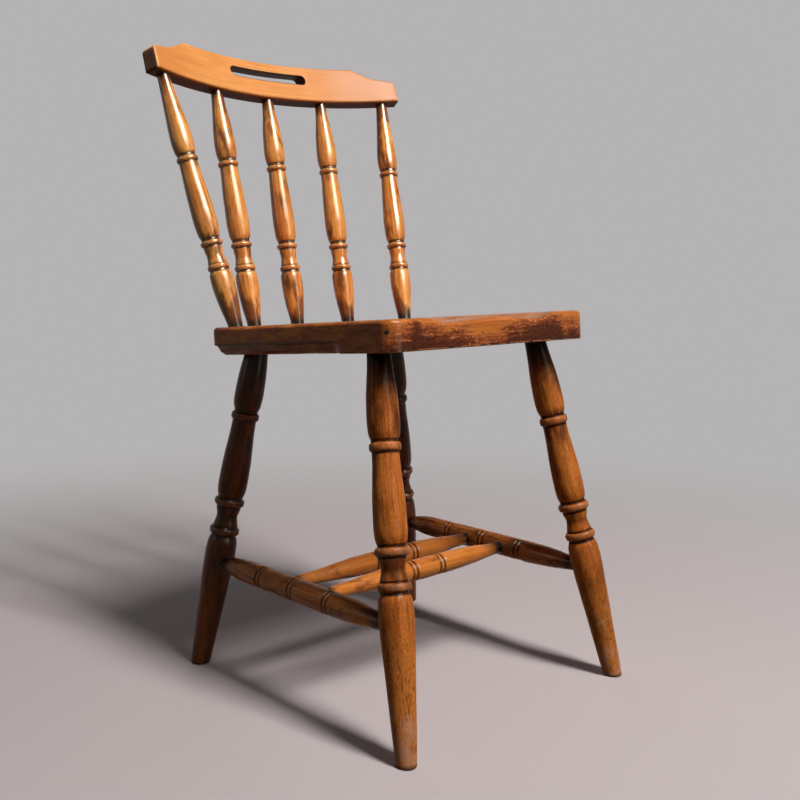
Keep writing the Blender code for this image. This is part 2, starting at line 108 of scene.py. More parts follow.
UNDERCUT_RUNOUT = 0.023
UNDERCUT_END = 0.105

# Wear of the seat: how far its upper edge sinks and ripples, how far its lower arris
# swells, how much its top warps, and the sizes of those ripples.
EDGE_WEAR = 0.0004
EDGE_RIPPLE = 0.00035
EDGE_RIPPLE_SIZES = (0.012, 0.005)
ARRIS_GAIN = 0.0002
TOP_WARP = 0.0002
TOP_WARP_SIZE = 0.06

# Height shares of the seat's edge: 0 at its foot, MOULDING_SHARE at the top of the
# moulding, ROUNDING_SHARE where it starts to turn over, and 1 and more on the top. The
# others say where a look starts or ends, and where it is full or gone.
MOULDING_SHARE = 0.4
ROUNDING_SHARE = 0.8
LOW_LINE_SHARES = (0.08, 0.02)
QUIRK_SHARES = ((0.33, 0.39), (0.47, 0.42))
SIDE_SHARES = (0.98, 0.88)
FRONT_SHARES = (1.02, 0.94)
RIM_SHARES = (1.0, 1.9)

# Front edge: how far its look holds behind the edge and how softly it ends there, and
# (place across, share of the edge's height up to which varnish is left).
FRONT_HOLD = 0.006
FRONT_FADE = 0.012
FRONT_VARNISH = ((-0.170, 0.20), (-0.150, 0.55), (-0.134, 0.72), (-0.124, 1.02), (-0.113, 0.72),
                 (-0.095, 0.62), (-0.060, 0.58), (-0.044, 0.44), (-0.032, 0.26), (-0.008, 0.22),
                 (0.008, 0.36), (0.022, 0.60), (0.050, 0.74), (0.090, 0.90), (0.110, 0.82),
                 (0.121, 0.44), (0.134, 0.64), (0.146, 0.50), (0.158, 0.25), (0.170, 0.20))

# Knot hole in the seat's side, at the sitter's right, painted near-black as shade inside:
# its distance behind the front edge and its height, with the top at 0, its outer and inner
# radius, how ragged it is and how far across it starts. CORNER_REACH is how far back the
# rubbed corner starts and is full.
KNOT_HOLE = (0.0085, -0.0135)
KNOT_RIM = (0.0052, 0.0036)
KNOT_RAGGED = 0.004
KNOT_SIDE = (-0.1, -0.12)
CORNER_REACH = (0.090, 0.008)

# Legs: (distance from the foot, radius) through the body, without the beads, and
# (place, radius) of each bead. LEG_REAR_TRIM is what the rear legs lack at the foot.
LEG_KNOTS = ((0.0, 0.0108), (0.0155, 0.0120), (0.066, 0.0147), (0.1165, 0.0176),
             (0.134, 0.0185), (0.150, 0.0189), (0.166, 0.0180), (0.1745, 0.0154),
             (0.186, 0.0150), (0.1985, 0.0126), (0.209, 0.0150), (0.2218, 0.0152),
             (0.229, 0.0172), (0.2402, 0.0180), (0.262, 0.0177), (0.318, 0.0146),
             (0.3312, 0.0146), (0.339, 0.0169), (0.3517, 0.0177), (0.372, 0.0172),
             (0.412, 0.0137), (0.4247, 0.0131))
LEG_BEADS = ((0.1798, 0.0184), (0.2162, 0.0186), (0.3252, 0.0172))
LEG_BEAD_HALF = 0.0050
LEG_REAR_TRIM = 0.0083
LEG_TENON = 0.022
LEG_RUN_ON = 0.01
LEG_SCUFF_REACH = 0.17
LEG_SIDES = 56
FOOT_ROUND = 0.0016
FOOT_DETAIL = 0.004
FOOT_SLIDE = 0.006

# Back spindles, in the same way, from the seat's top up.
SPINDLES = 5
SPINDLE_KNOTS = ((0.0, 0.0088), (0.010, 0.0097), (0.026, 0.0120), (0.049, 0.0140),
                 (0.058, 0.0141), (0.066, 0.0137), (0.0715, 0.0119), (0.0795, 0.0117),
                 (0.0894, 0.0102), (0.0995, 0.0112), (0.1105, 0.0111), (0.117, 0.0132),
                 (0.130, 0.0143), (0.139, 0.0145), (0.150, 0.0142), (0.176, 0.0131),
                 (0.2055, 0.0115), (0.217, 0.0112), (0.222, 0.0128), (0.234, 0.0138),
                 (0.250, 0.0130), (0.264, 0.0117), (0.2935, 0.0082), (0.305, 0.0075))
SPINDLE_BEADS = ((0.0754, 0.0136), (0.1054, 0.0136), (0.2116, 0.0133))
SPINDLE_BEAD_HALF = 0.0032
SPINDLE_TENONS = (0.016, 0.015)
THIN_SIDES = 48

# Stretchers: side ones from the rear leg's axis to the front leg's, and cross ones from
# one side stretcher's axis to the other's. Each tip ends TIP_GAP short of the axis. A
# ring stands between two grooves.
SIDE_KNOTS = ((0.0, 0.0083), (0.0205, 0.0084), (0.036, 0.0112), (0.055, 0.0133),
              (0.085, 0.0137), (0.235, 0.0137), (0.262, 0.0128), (0.296, 0.0098),
              (0.3087, 0.0085), (0.3292, 0.0083))
SIDE_RINGS = (0.0985, 0.1600, 0.2230)
CROSS_KNOTS = ((0.0, 0.0074), (0.045, 0.0078), (0.080, 0.0103), (0.120, 0.0126),
               (0.150, 0.0129), (0.205, 0.0128), (0.254, 0.0112), (0.292, 0.0080),
               (0.3215, 0.0074))
CROSS_FRONT_RINGS = (0.1464, 0.1930)
CROSS_REAR_RINGS = (0.1425, 0.2042)
TIP_GAP = 0.003
RING_HALF = 0.0014
GROOVE_WIDTH = 0.0020
GROOVE_DEPTH = 0.0019

# Every turning: the steps along it, the shape of its beads, what counts as a hollow in
# its outline, and slight dents that fade out at its start.
COARSE_STEP = 0.004
FINE_STEP = 0.0005
GROOVE_STEP = 0.0003
FINE_REACH = 0.009
BEAD_POWER = 2.4
BEAD_SINK = 0.0004
HOLLOW_REACH = 0.005
HOLLOW_STEP = 0.0004
HOLLOW_FULL = 0.0011
DENT_SIZE = 0.030
DENT_DEPTH = 0.00022
DENT_FADE = 0.02

# Finding a solid's axis: what counts as standing on the floor, and how near a point is
# to the end of the solid to be on its end ring, in three rounds.
ON_FLOOR = 2e-5
END_MARGINS = (0.0015, 0.0003, 0.0003)

# Darkening at an end of a turning, grime at its joint and at a leg's top also painted shadow of the
# seat: how far in it starts to thin, its reach and its strength.
NO_GRIME = (0.0, 1.0, 0.0)
LEG_TOP_SHADOW_AND_GRIME = (LEG_TENON, 0.042, 1.0)
SIDE_GRIME = (0.014, 0.017, 1.0)
CROSS_GRIME = (0.012, 0.008, 1.0)
SPINDLE_GRIME = ((SPINDLE_TENONS[0], 0.012, 0.90), (SPINDLE_TENONS[1], 0.008, 0.66))

# Crest rail: a curved board that leans back, measured across, up its face and behind it.
CREST_LOW = (0.0, 0.2187, 0.7189)
CREST_RADIUS = 0.517
CREST_HALF = 0.1965
CREST_LEAN = radians(21.65)
CREST_THICKNESS = (0.0215, 0.0195)
CREST_HEIGHT = 0.0502
CREST_END_HEIGHT = 0.0295
CREST_END_FALL = 0.20
CREST_CORNER_RADIUS = 0.005
CREST_SHOULDER_X = 0.137
CREST_NOTCH_X = 0.172
CREST_LIFT = 0.0122
CREST_ROUND = 0.0026
CREST_CLOSE = 0.93
SLOT_HALF = 0.0614
SLOT_HEIGHT = 0.0122
SLOT_UP = 0.0303
SLOT_ROUND = 0.0012
SLOT_RISE = 0.206

# Looks of the crest rail: how deep its face and its underside, painted dark as shade, go,
# how thin its dark end grain is, how wide its rubbed end line is, where end grain and
# underside start behind the face, and where the browner back starts.
FACE_DEEP = 0.003
END_THIN = 0.0008
ARRIS_WIDE = 0.0016
DARK_START = 0.001
DARK_FADE = 0.002
BACK_START = 0.016


# Shapes.

def ease(share):
    """Smooth step: 0 below 0, 1 above 1, 3t^2 - 2t^3 between."""
    share = np.clip(share, 0.0, 1.0)
    return share * share * (3.0 - 2.0 * share)


def through(knots, places):
    """Cubic through the knots. The slope at a knot is the harmonic mean of the slopes
    on its two sides, or level where they turn, so nothing overshoots."""
    x, y = np.array(knots).T
    step, rise = np.diff(x), np.diff(y) / np.diff(x)
    both, total = rise[:-1] * rise[1:], rise[:-1] + rise[1:]
    bend = np.divide(2.0 * both, total, out=np.zeros_like(both), where=both > 0.0)
    slope = np.concatenate((rise[:1], bend, rise[-1:]))
    i = np.clip(np.searchsorted(x, places, "right") - 1, 0, len(x) - 2)
    t = (places - x[i]) / step[i]
    left = y[i] * (1.0 + 2.0 * t) * (1.0 - t) ** 2 + slope[i] * step[i] * t * (1.0 - t) ** 2
    right = y[i + 1] * t * t * (3.0 - 2.0 * t) + slope[i + 1] * step[i] * t * t * (t - 1.0)
    return left + right


def ripple(points, size, seed):
    """Soft bumps of about `size` metres: the mean of sines along seeded directions."""
    waves = 7
    rng = np.random.default_rng(seed)
    way = rng.normal(size=(waves, 3))
    way *= (rng.uniform(0.6, 1.6, waves) / np.linalg.norm(way, axis=1))[:, None] * 2.0 * pi / size
    return np.sin(points @ way.T + rng.uniform(0.0, 2.0 * pi, waves)).mean(axis=-1)


def skin(name, grid, finish, marks, looped=False):
    """Mesh of a grid of points. Columns run round and close on themselves. The rows run
    from a pole at the first row's middle to a pole at the last row's, or are looped.
    `marks` are values on the points, with the same rows and columns. Where the volume
    inside comes out negative, the faces are turned to point outwards."""
    rows, columns = grid.shape[:2]
    index = np.arange(rows * columns).reshape(rows, columns)
    following = np.roll(index, -1, axis=1)
    if looped:
        above, above_following = (np.roll(row, -1, axis=0) for row in (index, following))
        quads = np.stack((index, following, above_following, above), axis=-1)
    else:
        quads = np.stack((index[:-1], following[:-1], following[1:], index[1:]), axis=-1)
    points = grid.reshape(-1, 3)
    faces = quads.reshape(-1, 4).tolist()
    if not looped:
        points = np.vstack((points, grid[0].mean(axis=0), grid[-1].mean(axis=0)))
        low, high = rows * columns, rows * columns + 1
        faces += [(low, after, before) for before, after in zip(index[0], following[0])]
        faces += [(high, before, after) for before, after in zip(index[-1], following[-1])]
    corners = points[quads.reshape(-1, 4)]
    volume = np.einsum("ij,ij->", corners[:, 0], np.cross(corners[:, 1], corners[:, 2]))
    volume += np.einsum("ij,ij->", corners[:, 0], np.cross(corners[:, 2], corners[:, 3]))
    if volume < 0.0:
        faces = [face[::-1] for face in faces]
    mesh = bpy.data.meshes.new(name)
    mesh.from_pydata(points.tolist(), [], faces)
    for mark, values in marks.items():
        wide = 3 if values.ndim == 3 else 1
        values = values.reshape(-1, wide)
        if not looped:
            ends = [marks[mark][row].reshape(-1, wide).mean(axis=0) for row in (0, -1)]
            values = np.vstack((values, ends))
        layer = mesh.attributes.new(mark, "FLOAT_VECTOR" if wide == 3 else "FLOAT", "POINT")
        layer.data.foreach_set("vector" if wide == 3 else "value", values.astype(np.float32).ravel())
    mesh.materials.append(finish)
    mesh.shade_smooth()
    piece = bpy.data.objects.new(name, mesh)
    bpy.context.collection.objects.link(piece)
    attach(piece, "root")
    return piece


# Turned pieces.

def axis_of(node, towards):
    """Ends of a turned solid's axis: the middle of its lowest ring and of its far ring.
    A first guess of the direction finds the rings, and their middles correct it."""
    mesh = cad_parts[node].data
    points = np.empty(len(mesh.vertices) * 3, dtype=np.float32)
    mesh.vertices.foreach_get("co", points)
    points = np.unique(points.reshape(-1, 3).astype(float).round(6), axis=0)
    way = np.linalg.svd(points - points.mean(axis=0), full_matrices=False)[2][0]
    way *= np.sign(way @ np.array(towards))
    for margin in END_MARGINS:
        reach = points @ way
        standing = points[:, 2] < ON_FLOOR
        start = points[standing if standing.any() else reach < reach.min() + margin].mean(axis=0)
        end = points[reach > reach.max() - margin].mean(axis=0)
        way = (end - start) / np.linalg.norm(end - start)
    return start, end


def stations(length, details, fine=FINE_STEP):
    """Places along a turning: its ends, coarse steps, and fine ones near its details."""
    places = [np.arange(0.0, length, COARSE_STEP), np.array((0.0, length))]
    places += [np.arange(detail - FINE_REACH, detail + FINE_REACH, fine) for detail in details]
    places = np.unique(np.concatenate(places).round(5))
    places = places[(places >= 0.0) & (places <= length)]
    return places[np.concatenate((np.diff(places) > 0.4 * fine, [True]))]


def beaded(places, knots, beads, half):
    """Radius of a turning: its body, or a bead where that stands higher. A bead's height
    is (1 - x^2.4)^0.5, with x from 0 at its middle to 1 at its foot."""
    radius = through(knots, places)
    for centre, top in beads:
        across = np.clip(np.abs(places - centre) / half, 0.0, 1.0)
        foot = through(knots, np.array((centre - half, centre + half))).min() - BEAD_SINK
        bead = foot + (top - foot) * (1.0 - across ** BEAD_POWER) ** 0.5
        radius = np.where(across < 1.0, np.maximum(radius, bead), radius)
    return radius


def ringed(places, knots, rings):
    """Radius of a stretcher: its body less a fine groove on each side of each ring, whose
    depth is a bell curve."""
    radius = through(knots, places)
    for centre in rings:
        for side in (-1.0, 1.0):
            away = (places - centre - side * (RING_HALF + GROOVE_WIDTH)) / GROOVE_WIDTH
            radius = radius - GROOVE_DEPTH * np.exp(-away ** 2)
    return radius


def hollow(places, radius):
    """How far the outline lies inside its own average over a few millimetres: up to 1 in
    a hollow, down to -1 on the crown of a bead."""
    even = np.arange(places[0] - HOLLOW_REACH, places[-1] + HOLLOW_REACH, HOLLOW_STEP)
    window = np.ones(int(2.0 * HOLLOW_REACH / HOLLOW_STEP))
    level = np.convolve(np.interp(even, places, radius), window / len(window), "same")
    return np.clip((np.interp(places, even, level) - radius) / HOLLOW_FULL, -1.0, 1.0)


def turned(name, node, towards, outline, finish, grime_and_shade, sides):
    """Surface of revolution: the point at angle a and distance s along the axis is
    start + way s + radius(s) (u cos a + v sin a). A foot is flattened on the floor by
    sliding its last rings along the axis, and slight dents ripple the whole. `outline`
    gives places, radii and scuffs, and the end darkening how grime, and at a leg's top
    painted shadow of the seat, gathers at each end. The seed gives each piece its own
    dents and its own place in the grain."""
    start, end = (Vector(point) for point in axis_of(node, towards))
    way = (end - start).normalized()
    across = way.orthogonal().normalized()
    u, v, w = (np.array(vector) for vector in (across, way.cross(across), way))
    places, radius, scuff = outline((end - start).length)
    angle = np.arange(sides) * 2.0 * pi / sides
    ring = np.cos(angle)[:, None] * u + np.sin(angle)[:, None] * v
    round_part = radius[:, None, None] * ring
    seed = sum(map(ord, name))
    along = np.repeat(places[:, None], sides, axis=1)
    if start.z < ON_FLOOR:
        sunk = round_part[:, :, 2] / w[2]
        along = along - sunk * np.clip(1.0 - along / FOOT_SLIDE, 0.0, 1.0)
    grid = np.array(start) + along[:, :, None] * w + round_part
    dent = ripple(grid, DENT_SIZE, seed)[:, :, None] * DENT_DEPTH
    fade = np.clip(along / DENT_FADE, 0.0, 1.0)[:, :, None]
    grid = grid + ring * dent * fade
    grain = np.stack((radius[:, None] * np.cos(angle) + 0.37 * seed % 1.0,
                      radius[:, None] * np.sin(angle) + 0.61 * seed % 1.0, along), axis=-1)
    ones = np.ones((1, sides))
    dirt_and_shade = [strength * np.exp(-np.clip(from_end - mouth, 0.0, None) / reach)
            for from_end, (mouth, reach, strength) in zip((places, places[-1] - places), grime_and_shade)]
    marks = {"grain": grain, "hollow": hollow(places, radius)[:, None] * ones,
             "grime_and_shade": np.maximum(*dirt_and_shade)[:, None] * ones, "scuff": scuff[:, None] * ones}
    piece = skin(name, grid, finish, marks)
    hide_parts(node)
    return piece


def foot_round(places, radius):
    """Rounds a foot's lower edge: a quarter circle over its last millimetres."""
    low = np.clip(1.0 - places / FOOT_ROUND, 0.0, 1.0)
    return radius - FOOT_ROUND * (1.0 - np.sqrt(1.0 - low ** 2))


def leg_outline(trim):
    """Outline of a leg whose foot is cut short by `trim`."""
    def outline(length):
        places = stations(length, [centre - trim for centre, _ in LEG_BEADS] + [FOOT_DETAIL])
        knots = [(place - trim, radius) for place, radius in LEG_KNOTS]
        knots.append((length + LEG_RUN_ON, LEG_KNOTS[-1][1]))
        beads = [(centre - trim, top) for centre, top in LEG_BEADS]
        radius = foot_round(places, beaded(places, knots, beads, LEG_BEAD_HALF))
        scuff = np.clip(1.0 - places / LEG_SCUFF_REACH, 0.0, 1.0)
        return places, radius, scuff
    return outline


def spindle_outline(length):
    """Outline of a back spindle; its upper taper stretches to reach the crest rail."""
    base, top = SPINDLE_TENONS
    tall = length - base - top
    reach = tall - SPINDLE_KNOTS[-1][0]
    knots = [(-base, SPINDLE_KNOTS[0][1]), *SPINDLE_KNOTS[:-2]]
    knots += [(place + reach, radius) for place, radius in SPINDLE_KNOTS[-2:]]
    knots.append((tall + top, SPINDLE_KNOTS[-1][1]))
    places = stations(length, [base + centre for centre, _ in SPINDLE_BEADS])
    radius = beaded(places - base, knots, SPINDLE_BEADS, SPINDLE_BEAD_HALF)
    return places, radius, np.zeros_like(places)


def stretcher_outline(knots, rings):
    """Outline of a stretcher, stretched evenly to the distance between its two axes."""
    def outline(length):
        stretch = (length + 2.0 * TIP_GAP) / knots[-1][0]
        centres = [ring * stretch for ring in rings]
        places = stations(length, [centre - TIP_GAP for centre in centres], GROOVE_STEP)
        scaled = [(place * stretch, radius) for place, radius in knots]
        radius = ringed(places + TIP_GAP, scaled, centres)
        return places, radius, np.zeros_like(places)
    return outline


# Seat plank.

def seat_half(depth):
    """Half width of the plank, tapering evenly from front to rear."""
    return SEAT_FRONT_HALF + (SEAT_REAR_HALF - SEAT_FRONT_HALF) * depth / SEAT_DEPTH


def arc(centre, radius, start, turn, steps):
    """Points centre + radius (cos a, sin a), with a from start through turn."""
    angle = start + turn * np.linspace(0.0, 1.0, steps)
    return np.stack((centre[0] + radius * np.cos(angle), centre[1] + radius * np.sin(angle)), axis=-1)


def line(start, end, steps):
    """Evenly spaced points between two, without its ends."""
    return np.linspace(start, end, steps + 2)[1:-1]


def seat_outline():
    """Plank outline, anticlockwise from above: straight front, rounded front corners,
    tapered sides, rounded rear corners and a bowed rear edge on a big circle."""
    big = (SEAT_REAR_HALF ** 2 + SEAT_BOW ** 2) / (2.0 * SEAT_BOW)
    small, front = SEAT_REAR_RADIUS, SEAT_FRONT_RADIUS
    across = SEAT_REAR_HALF - small
    big_middle = SEAT_DEPTH + SEAT_BOW - big
    corner = big_middle + ((big - small) ** 2 - across ** 2) ** 0.5
    lean = asin(across / (big - small))
    start, end = ((seat_half(depth), depth) for depth in (UNDERCUT_START, UNDERCUT_END))
    half = [line((0.0, 0.0), (SEAT_FRONT_HALF - front, 0.0), 46),
            arc((SEAT_FRONT_HALF - front, front), front, -0.5 * pi, 0.5 * pi, 14),
            line((SEAT_FRONT_HALF, front), start, 12),
            line(start, end, 14),
            line(end, (SEAT_REAR_HALF, corner), 40),
            arc((across, corner), small, 0.0, 0.5 * pi - lean, 8),
            arc((0.0, big_middle), big, 0.5 * pi - lean, lean, 44)[1:]]
    half = np.vstack(half)
    return np.vstack(([(0.0, 0.0)], half, half[:-1][::-1] * (-1.0, 1.0)))


def inset(outline, distance):
    """Outline moved inwards by `distance`, square to the line between its neighbours."""
    along = np.roll(outline, -1, axis=0) - np.roll(outline, 1, axis=0)
    along /= np.linalg.norm(along, axis=1)[:, None]
    return outline + np.stack((-along[:, 1], along[:, 0]), axis=-1) * np.reshape(distance, (-1, 1))


def saddle(across, depth):
    """Depth of the two thigh hollows: full between the rims, less over a middle ridge and
    at the front lip, and fading out before the spindles."""
    wide = 1.0 - ease((np.abs(across) - SADDLE_FLAT_HALF) / (SADDLE_HALF - SADDLE_FLAT_HALF))
    long = 1.0 - ease((depth - SADDLE_FADE_START) / SADDLE_FADE)
    ridge = SADDLE_RIDGE * (1.0 - ease(np.abs(across) / SADDLE_FLAT_HALF))
    lip = SADDLE_LIP * (1.0 - ease(depth / SADDLE_LIP_FADE))
    return (SADDLE_DEPTH - ridge - lip) * wide * long


def seat_grid():
    """Rings of the plank from the middle of its underside, round its moulded edge, to the
    middle of its top. Also the height share of each ring on the edge, 0 below and 1 above."""
    outline = seat_outline()
    under = ease((outline[:, 1] - UNDERCUT_START) / UNDERCUT_RUNOUT) * UNDERCUT_INSET
    middle = np.array((0.0, 0.5 * SEAT_DEPTH))
    bottom = -SEAT_THICKNESS
    rings, shares = [], []

    def add(points, height, share):
        rings.append(np.column_stack((points, np.broadcast_to(height, len(points)))))
        shares.append(share)

    floor = inset(outline, under + SEAT_BOTTOM_ROUND)
    for share in (0.05, 0.2, 0.35, 0.5, 0.65, 0.8, 0.92):
        add(middle + (floor - middle) * share, bottom, 0.0)
    for turn in np.linspace(0.0, 0.5 * pi, 5):
        round_off = SEAT_BOTTOM_ROUND * (1.0 - sin(turn))
        add(inset(outline, under + round_off), bottom + SEAT_BOTTOM_ROUND * (1.0 - cos(turn)), 0.0)
    # Moulding: an S from the underside's inset edge out to a sharp upper shoulder. The
    # inset loses 42% over the lower 45% of the height and 40% on a power curve over the
    # upper 70%, and drops to nothing at the shoulder.
    for up in np.linspace(0.10, 1.0, 12):
        inward = 1.0 - 0.42 * ease(up / 0.45) - 0.40 * max(0.0, (up - 0.30) / 0.70) ** 1.6
        inward = 0.0 if up > 0.999 else inward
        add(inset(outline, under * inward), bottom + UNDERCUT_HEIGHT * up, MOULDING_SHARE * up)
    top = -saddle(outline[:, 0], outline[:, 1])
    shoulder = bottom + UNDERCUT_HEIGHT
    edge = top - SEAT_TOP_ROUND
    for up in np.linspace(0.02, 1.0, 12):
        share = MOULDING_SHARE + (ROUNDING_SHARE - MOULDING_SHARE) * up
        add(outline, shoulder + (edge - shoulder) * up, share)
    for turn in np.linspace(0.0, 0.5 * pi, 7)[1:]:
        rounded = inset(outline, SEAT_TOP_ROUND * (1.0 - cos(turn)))
        height = -saddle(rounded[:, 0], rounded[:, 1]) - SEAT_TOP_ROUND * (1.0 - sin(turn))
        add(rounded, height, ROUNDING_SHARE + (1.0 - ROUNDING_SHARE) * turn / (0.5 * pi))
    rim = inset(outline, SEAT_TOP_ROUND)
    for share in np.concatenate((np.linspace(0.985, 0.90, 6), np.linspace(0.87, 0.04, 24))):
        points = middle + (rim - middle) * share
        add(points, -saddle(points[:, 0], points[:, 1]), 1.0 + (1.0 - share) * 6.0)
    return np.array(rings), np.array(shares)


def seat(finish):
    """The plank, turned into its slope. Its upper edge sinks on a bell curve of the height
    share, round 0.9, with soft bumps. Its lower arris swells on one round 0, and all of it
    warps a little."""
    rings, shares = seat_grid()
    outline = seat_outline()
    across, depth = outline[:, 0], outline[:, 1]
    front = 1.0 - ease((depth - FRONT_HOLD) / FRONT_FADE)
    varnish = through(FRONT_VARNISH, across) - (rings[:, :, 2] + SEAT_THICKNESS) / SEAT_THICKNESS
    share = np.broadcast_to(shares[:, None], rings.shape[:2])
    edge = np.exp(-((share - 0.9) / 0.12) ** 2) + 0.6 * np.exp(-(share / 0.05) ** 2)
    worn = rings.copy()
    bumps = ripple(rings, EDGE_RIPPLE_SIZES[0], 3) + 0.6 * ripple(rings, EDGE_RIPPLE_SIZES[1], 4)
    worn[:, :, 2] -= edge * np.where(share > 0.3, EDGE_WEAR + EDGE_RIPPLE * bumps, -ARRIS_GAIN)
    worn[:, :, 2] += TOP_WARP * ripple(rings, TOP_WARP_SIZE, 5)
    place = Matrix.Translation(SEAT_FRONT) @ Matrix.Rotation(-SEAT_SLOPE, 4, "X")
    turn, shift = np.array(place)[:3, :3], np.array(place)[:3, 3]
    grid = worn @ turn.T + shift
    undercut = ease((depth - UNDERCUT_START) / UNDERCUT_RUNOUT)
    marks = {"grain": rings[:, :, [1, 2, 0]],
             "front": np.broadcast_to(front, rings.shape[:2]),
             "up": share,
             "varnish": varnish,
             "moulding": ((share > 0.02) & (share < MOULDING_SHARE + 0.01)) * undercut[None, :]}
    piece = skin("seat_plank", grid, finish, marks)
    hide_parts("seat")
    return piece


# Crest rail.

def crest_height(across):
    """Height up the face: full, then a hollow shoulder of a parabola, then a low end
    that falls outwards and turns down round its corner on a circle."""
    across = np.abs(across)
    share = np.clip((across - CREST_SHOULDER_X) / (CREST_NOTCH_X - CREST_SHOULDER_X), 0.0, 1.0)
    low = CREST_END_HEIGHT + CREST_END_FALL * (CREST_HALF - np.maximum(across, CREST_SHOULDER_X))
    past = np.clip(across - CREST_HALF + CREST_CORNER_RADIUS, 0.0, CREST_CORNER_RADIUS)
    corner = CREST_CORNER_RADIUS - np.sqrt(CREST_CORNER_RADIUS ** 2 - past ** 2)
    return low + (CREST_HEIGHT - low) * (1.0 - share) ** 2 - corner


def crest_place(across, up, behind):
    """Point of the crest rail: a big circle in plan, a lift towards the ends, a lean."""
    swing = np.arcsin(across / CREST_RADIUS)
    lift = CREST_LIFT * (across / CREST_HALF) ** 2
    back = CREST_LOW[1] - CREST_RADIUS * (1.0 - np.cos(swing))
    lean, tilt = sin(CREST_LEAN), cos(CREST_LEAN)
    return np.stack((across + np.sin(swing) * tilt * behind,
                     back + up * lean + np.cos(swing) * tilt * behind,
                     CREST_LOW[2] + lift + up * tilt - lean * behind), axis=-1)


def crest_thickness(up):
    """Thickness of the board at a height up its face: it tapers evenly to its top."""
    low, high = CREST_THICKNESS
    return low + (high - low) * up / CREST_HEIGHT


def crest_outlines():
    """Matching points round the slot and round the board, as (across, up), from the
    middle of the lower edge towards +X and round. The slot's end faces the board's end
    and hollow shoulder, and its straight edges face the board's, so the counts of points
    in each stretch add up to the same."""
    reach = SLOT_HALF - 0.5 * SLOT_HEIGHT
    low, high = SLOT_UP - 0.5 * SLOT_HEIGHT, SLOT_UP + 0.5 * SLOT_HEIGHT
    end, near_end = CREST_HALF, CREST_CLOSE * CREST_HALF
    bottom_slot = np.column_stack((np.linspace(0.0, reach, 40), np.full(40, low)))
    bottom_board = np.column_stack((np.linspace(0.0, near_end, 40), np.zeros(40)))
    below = arc((reach, SLOT_UP), 0.5 * SLOT_HEIGHT, -0.5 * pi, 0.5 * pi, 11)[1:]
    above = arc((reach, SLOT_UP), 0.5 * SLOT_HEIGHT, 0.0, 0.5 * pi, 30)[1:-1]
    lower = np.column_stack((np.linspace(near_end, end, 5)[1:], np.zeros(4)))
    low_corner = CREST_END_HEIGHT - CREST_CORNER_RADIUS
    side = np.column_stack((np.full(6, end), np.linspace(0.0, low_corner, 8)[1:-1]))
    round_corner = end - CREST_CORNER_RADIUS * (1.0 - np.cos(np.linspace(0.0, 0.5 * pi, 7)))
    top_slot = np.column_stack((np.linspace(reach, 0.0, 52), np.full(52, high)))
    across = np.concatenate((round_corner, np.linspace(round_corner[-1], near_end, 5)[1:],
                             np.linspace(near_end, CREST_SHOULDER_X, 19)[1:],
                             np.linspace(CREST_SHOULDER_X, 0.0, 52)[1:]))
    top_board = np.column_stack((across, crest_height(across)))
    slot = np.vstack((bottom_slot, below, above, top_slot))
    board = np.vstack((bottom_board, lower, side, top_board))
    mirror = np.array((-1.0, 1.0))
    return (np.vstack((slot, slot[1:-1][::-1] * mirror)),
            np.vstack((board, board[1:-1][::-1] * mirror)))


